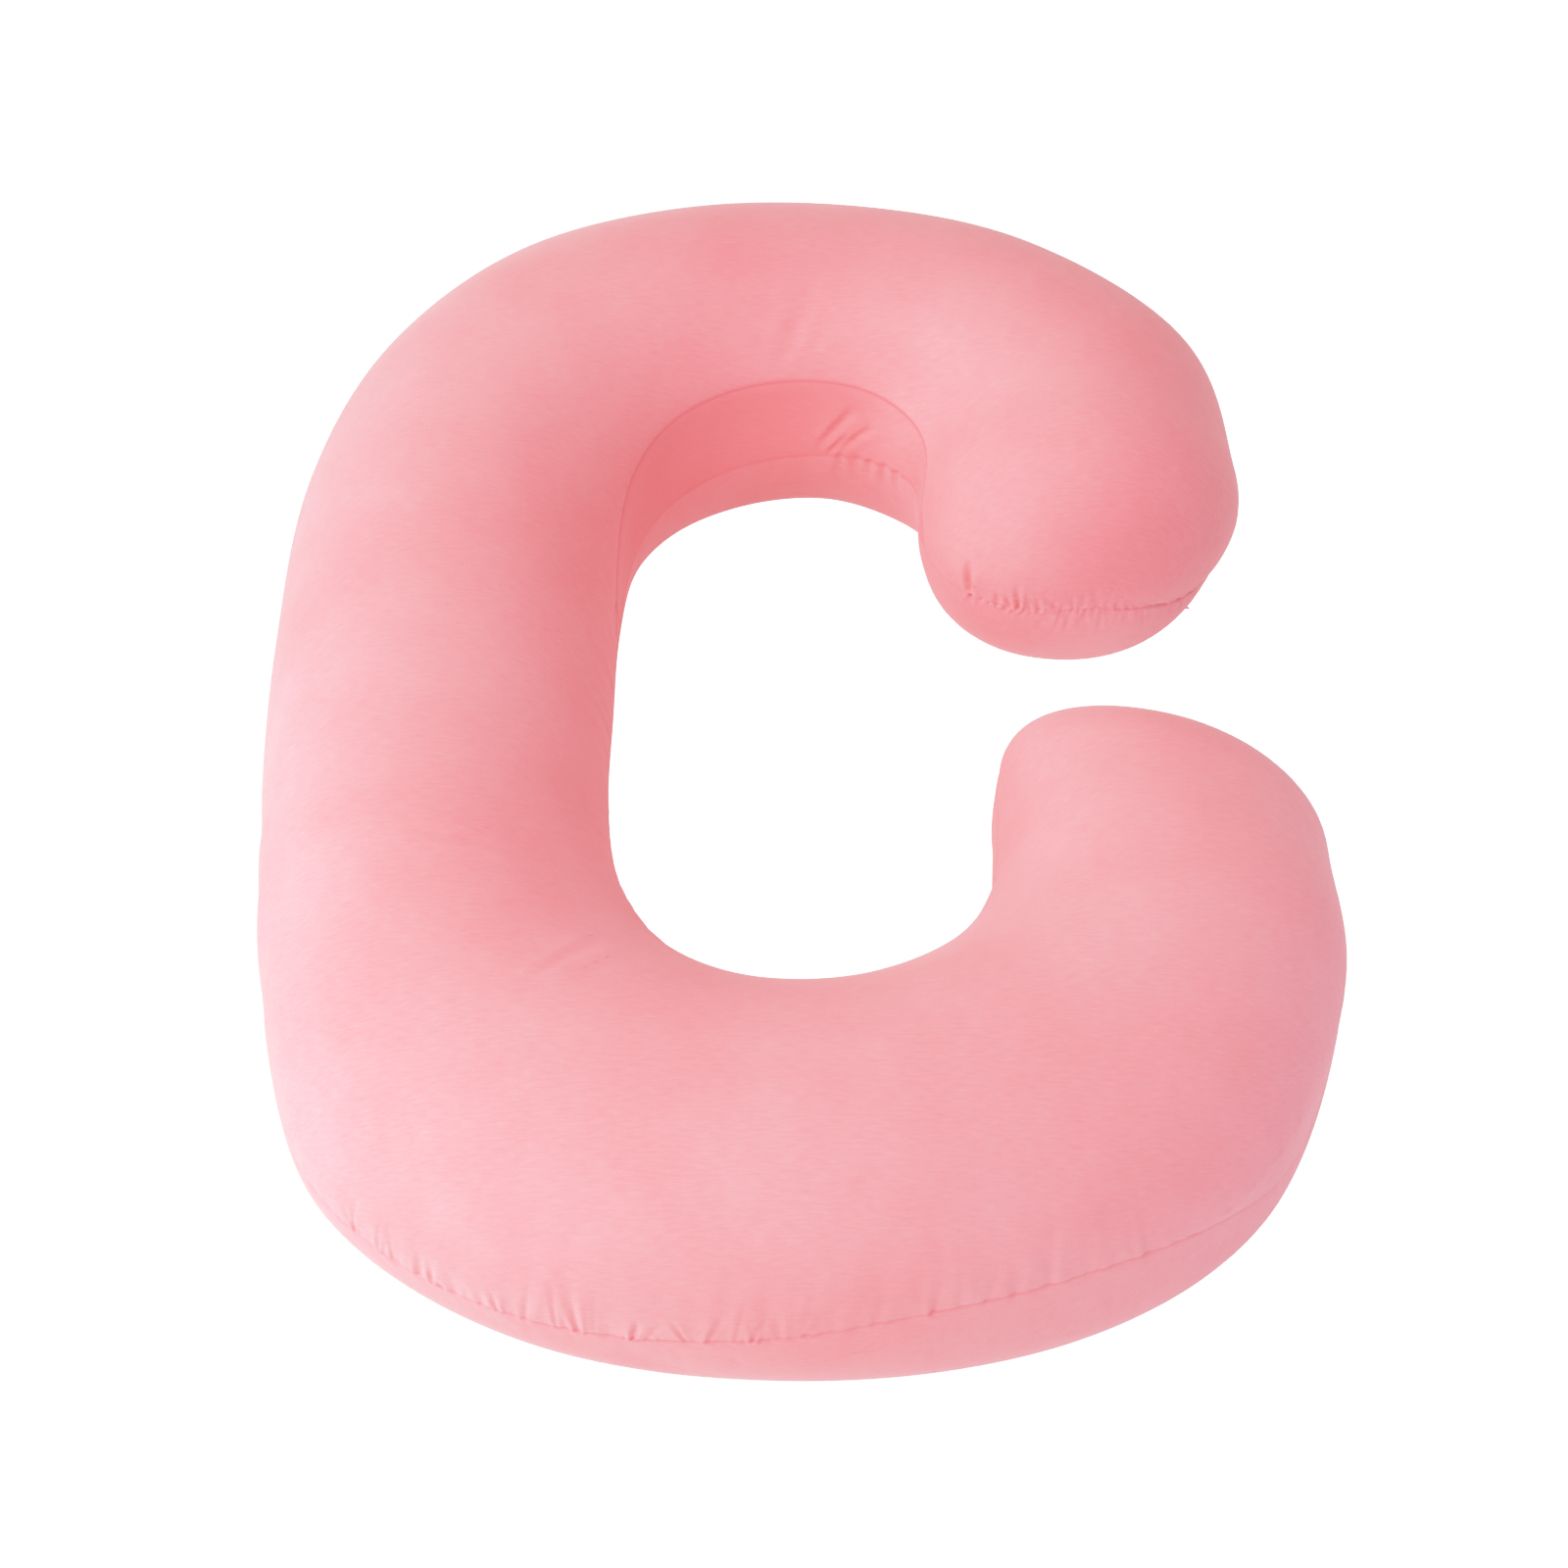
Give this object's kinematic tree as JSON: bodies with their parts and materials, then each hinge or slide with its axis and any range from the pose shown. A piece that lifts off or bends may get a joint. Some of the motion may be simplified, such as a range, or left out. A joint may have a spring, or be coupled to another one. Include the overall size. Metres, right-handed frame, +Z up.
{
  "type": "pregnancy pillow",
  "caption": "C-shaped full-body pregnancy pillow: thick round filled arms curve round an open middle, with a seam along the side and a crescent gusset inside the neck.",
  "frame": {"origin": "middle of the pillow's box on the surface that it lies on", "axes": "+Z up; +Y from the leg end of the C towards its neck; +X from the spine towards the open side of the C"},
  "size_m": [0.8348, 1.0968, 0.2762],
  "materials": {
    "pink_cover": "soft matt cotton"
  },
  "bodies": {
    "root": {"pillow_body": "pink_cover"}
  },
  "joints": []
}
